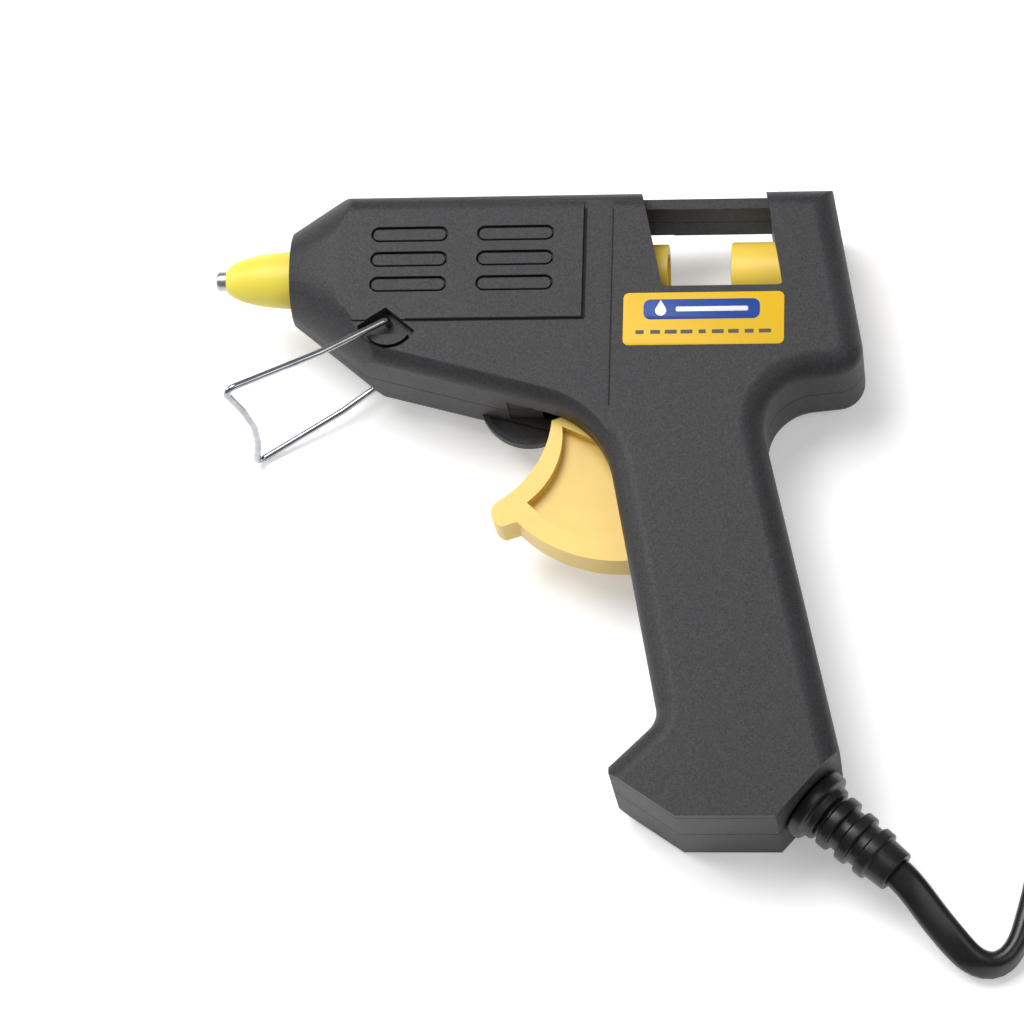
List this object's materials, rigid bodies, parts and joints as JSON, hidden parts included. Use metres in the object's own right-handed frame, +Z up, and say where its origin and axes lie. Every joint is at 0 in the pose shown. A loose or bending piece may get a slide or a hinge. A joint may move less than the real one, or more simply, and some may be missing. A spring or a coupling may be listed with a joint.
{
  "type": "hot melt glue gun",
  "caption": "Small pistol-shaped hot melt glue gun with a trigger-driven stick feed, a fold-out wire stand, a stick window and a flat mains cord with plug.",
  "frame": {"origin": "on the surface that the gun lies on, under the middle of the gun's box without its cord", "axes": "+X from the nozzle to the back, +Y from the grip's end to the barrel, +Z up from the surface; the gun lies on its right side and leans back 3.63 degrees about Y, because one foot of the splayed stand is under it"},
  "size_m": [0.2413, 0.154, 0.039],
  "materials": {
    "housing": "moulded charcoal plastic with a fine spark texture",
    "orange_plastic": "moulded orange-yellow plastic",
    "nozzle_cover": "yellow silicone rubber",
    "label": "printed film",
    "brass": "turned",
    "aluminium": "cast",
    "steel": "plated",
    "chrome_wire": "bright plated",
    "ceramic": "fired ceramic",
    "insulator": "mica and phenolic",
    "sleeve_rubber": "silicone",
    "cord_rubber": "glossy flexible PVC",
    "lead_brown": "insulated core",
    "lead_blue": "insulated core",
    "plug_metal": "nickel plated"
  },
  "bodies": {
    "body": {"housing_left": "housing", "housing_right": "housing", "housing_screws": "steel", "label_plate": "label", "nozzle_tip": "brass", "nozzle_cover": "nozzle_cover", "front_bush": "insulator", "heating_chamber": "aluminium", "heater_insulation": "insulator", "heater_electrodes": "brass", "heater_element": "ceramic", "heater_clip": "steel", "inlet_sleeve": "sleeve_rubber", "sleeve_clamp": "steel", "rear_guide": "orange_plastic", "trigger_pin": "steel", "return_spring": "steel", "strain_relief": "cord_rubber", "cord_tail": "cord_rubber", "cord_clamp": "housing", "cord_clamp_screws": "steel", "lead_live": "lead_brown", "lead_neutral": "lead_blue", "wire_splices": "brass", "cord": "cord_rubber", "cord_coil": "cord_rubber", "cord_end": "cord_rubber", "plug_body": "cord_rubber", "plug_pins": "plug_metal"},
    "carriage": {"stick_carriage": "orange_plastic", "jaw_pin": "steel"},
    "jaw": {"bite_jaw": "steel"},
    "trigger": {"trigger": "orange_plastic"},
    "stand": {"stand_wire": "chrome_wire"}
  },
  "joints": [
    {"name": "trigger_pull", "type": "hinge", "parent": "body", "child": "trigger", "pos_m": [0.01689, 0.0174, 0.01502], "axis": [0.0633, 0, 0.998], "range_deg": [0, 22], "stiffness_Nm_per_rad": 0.3, "springref_deg": -17.19, "deforming": ["return_spring"]},
    {"name": "carriage_slide", "type": "slide", "parent": "body", "child": "carriage", "axis": [-0.998, 0, 0.0633], "range_m": [0, 0.00763]},
    {"name": "jaw_bite", "type": "hinge", "parent": "carriage", "child": "jaw", "pos_m": [0.0146, 0.0393, 0.01517], "axis": [0.0633, 0, 0.998], "range_deg": [-12.11, 0]},
    {"name": "stand_fold", "type": "hinge", "parent": "body", "child": "stand", "pos_m": [-0.02692, 0.0349, 0.0178], "axis": [0.0633, 0, 0.998], "range_deg": [0, 107]}
  ],
  "couplings": [
    {"joint": "carriage_slide", "follows": "trigger_pull", "m_per_rad": 0.019877},
    {"joint": "jaw_bite", "follows": "trigger_pull", "ratio": -0.55}
  ]
}
